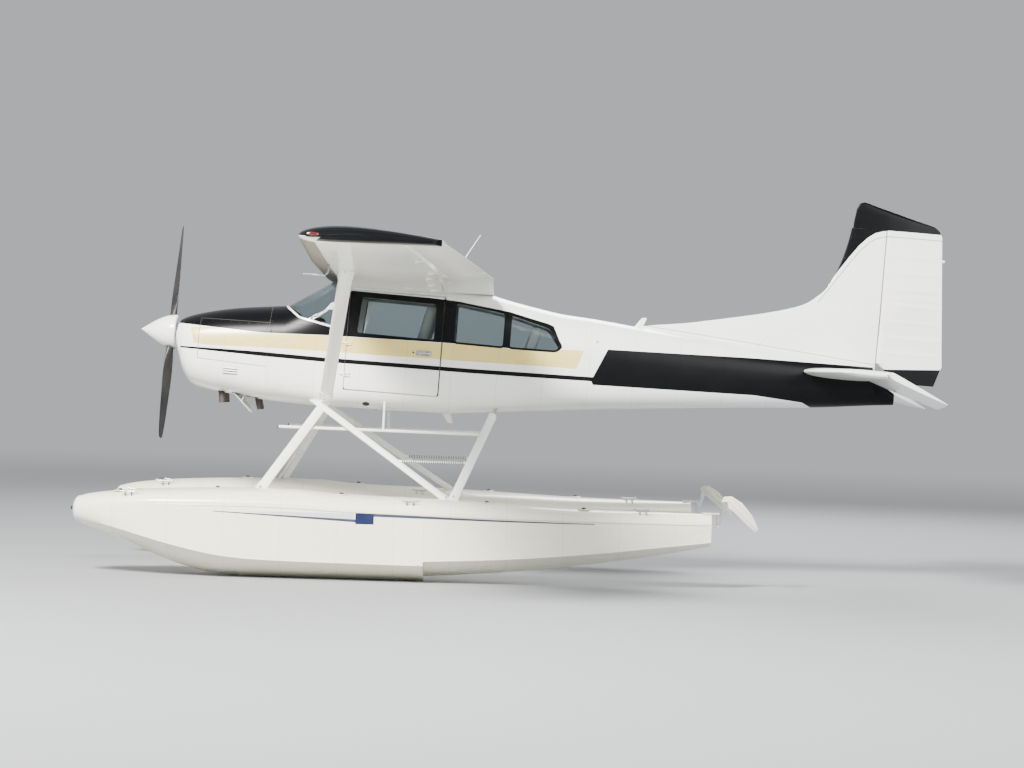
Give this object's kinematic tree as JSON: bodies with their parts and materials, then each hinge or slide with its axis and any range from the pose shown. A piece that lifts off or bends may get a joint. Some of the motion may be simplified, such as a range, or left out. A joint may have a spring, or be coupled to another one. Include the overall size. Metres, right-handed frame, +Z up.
{
  "type": "single-engine high-wing floatplane",
  "caption": "High-wing strut-braced light aircraft on two straight floats, with a free propeller, cabin doors, flying controls and water rudders.",
  "frame": {"origin": "on the floor under the middle of the aircraft's box, with the float keels on z = 0", "axes": "+X aft, with the nose towards -X; +Y to the right wing; +Z up"},
  "size_m": [8.2698, 10.92, 3.7509],
  "materials": {
    "white_paint": "glossy white paint over sheet metal",
    "float_paint": "warm white gloss paint, slightly weathered",
    "black_paint": "black paint",
    "engine_metal": "dark heat-stained metal",
    "bare_metal": "dull bare metal",
    "panel_plastic": "matt black",
    "seat_cloth": "light grey woven cloth",
    "glazing": "clear acrylic with a light tint"
  },
  "bodies": {
    "airframe": {"cabin_roof": "white_paint", "cabin_belly": "white_paint", "cowl_deck": "black_paint", "windshield": "glazing", "rear_side_right": "white_paint", "rear_side_left": "white_paint", "rear_window_right": "glazing", "rear_window_left": "glazing", "aft_window_right": "glazing", "aft_window_left": "glazing", "front_side_right": "white_paint", "front_side_left": "white_paint", "cowling": "white_paint", "firewall": "bare_metal", "engine_block": "engine_metal", "cowl_flap_right": "white_paint", "cowl_flap_left": "white_paint", "wing_right": "white_paint", "wing_left": "white_paint", "lift_strut_right": "white_paint", "lift_strut_left": "white_paint", "tail_cone": "white_paint", "stabiliser": "white_paint", "fin": "white_paint", "front_float_strut_right": "white_paint", "front_float_strut_left": "white_paint", "rear_float_strut_right": "white_paint", "rear_float_strut_left": "white_paint", "diagonal_float_strut_right": "white_paint", "diagonal_float_strut_left": "white_paint", "step_rail_right": "white_paint", "step_rail_left": "white_paint", "front_spreader_bar": "white_paint", "rear_spreader_bar": "white_paint", "instrument_panel": "panel_plastic", "front_seat_right": "seat_cloth", "front_seat_left": "seat_cloth", "rear_bench": "seat_cloth", "whip_antenna": "black_paint", "float_right": "float_paint", "float_left": "float_paint"},
    "propeller": {"propeller": "black_paint", "spinner": "white_paint"},
    "door_left": {"door_left": "white_paint", "door_glass_left": "glazing"},
    "door_right": {"door_right": "white_paint", "door_glass_right": "glazing"},
    "rudder": {"rudder": "white_paint"},
    "elevator": {"elevator": "white_paint"},
    "aileron_left": {"aileron_left": "white_paint"},
    "aileron_right": {"aileron_right": "white_paint"},
    "flap_left": {"flap_left": "white_paint"},
    "flap_right": {"flap_right": "white_paint"},
    "water_rudder_post_left": {"water_rudder_post_left": "bare_metal"},
    "water_rudder_post_right": {"water_rudder_post_right": "bare_metal"},
    "water_rudder_blade_left": {"water_rudder_blade_left": "float_paint"},
    "water_rudder_blade_right": {"water_rudder_blade_right": "float_paint"}
  },
  "joints": [
    {"name": "propeller_spin", "type": "hinge", "parent": "airframe", "child": "propeller", "pos_m": [-3.43527, 0, 2.2793], "axis": [-0.9986, 0, 0.0523], "continuous": true},
    {"name": "door_left_swing", "type": "hinge", "parent": "airframe", "child": "door_left", "pos_m": [-1.69148, -0.574, 2.05773], "axis": [-0.0523, 0, -0.9986], "range_deg": [0, 80]},
    {"name": "door_right_swing", "type": "hinge", "parent": "airframe", "child": "door_right", "pos_m": [-1.69148, 0.574, 2.05773], "axis": [0.0523, 0, 0.9986], "range_deg": [0, 80]},
    {"name": "rudder_turn", "type": "hinge", "parent": "airframe", "child": "rudder", "pos_m": [3.54707, 0, 2.71447], "axis": [0.0523, 0, 0.9986], "range_deg": [-24, 24]},
    {"name": "elevator_lift", "type": "hinge", "parent": "airframe", "child": "elevator", "pos_m": [3.43133, 0, 2.03459], "axis": [0, -1, 0], "range_deg": [0, 48]},
    {"name": "aileron_left_turn", "type": "hinge", "parent": "airframe", "child": "aileron_left", "pos_m": [-0.79599, -3.9, 2.89415], "axis": [0.0947, 0.9945, -0.0447], "range_deg": [-20, 15]},
    {"name": "aileron_right_turn", "type": "hinge", "parent": "airframe", "child": "aileron_right", "pos_m": [-0.79599, 3.9, 2.89415], "axis": [-0.0947, 0.9945, 0.0447], "range_deg": [-20, 15]},
    {"name": "flap_left_lower", "type": "hinge", "parent": "airframe", "child": "flap_left", "pos_m": [-0.73618, -1.5275, 2.76581], "axis": [-0.0016, 0.9995, -0.0301], "range_deg": [0, 40]},
    {"name": "flap_right_lower", "type": "hinge", "parent": "airframe", "child": "flap_right", "pos_m": [-0.73618, 1.5275, 2.76581], "axis": [0.0016, 0.9995, 0.0301], "range_deg": [0, 40]},
    {"name": "water_rudder_left_steer", "type": "hinge", "parent": "airframe", "child": "water_rudder_post_left", "pos_m": [1.87114, -1.35, 0.645], "axis": [0, 0, 1], "range_deg": [-28, 28]},
    {"name": "water_rudder_right_steer", "type": "hinge", "parent": "airframe", "child": "water_rudder_post_right", "pos_m": [1.87114, 1.35, 0.645], "axis": [0, 0, 1], "range_deg": [-28, 28]},
    {"name": "water_rudder_left_lower", "type": "hinge", "parent": "water_rudder_post_left", "child": "water_rudder_blade_left", "pos_m": [1.93314, -1.35, 0.8], "axis": [0, 1, 0], "range_deg": [0, 50]},
    {"name": "water_rudder_right_lower", "type": "hinge", "parent": "water_rudder_post_right", "child": "water_rudder_blade_right", "pos_m": [1.93314, 1.35, 0.8], "axis": [0, 1, 0], "range_deg": [0, 50]}
  ],
  "couplings": [
    {"joint": "aileron_right_turn", "follows": "aileron_left_turn", "ratio": -0.75},
    {"joint": "flap_right_lower", "follows": "flap_left_lower", "ratio": 1},
    {"joint": "water_rudder_right_steer", "follows": "water_rudder_left_steer", "ratio": 1},
    {"joint": "water_rudder_right_lower", "follows": "water_rudder_left_lower", "ratio": 1}
  ]
}
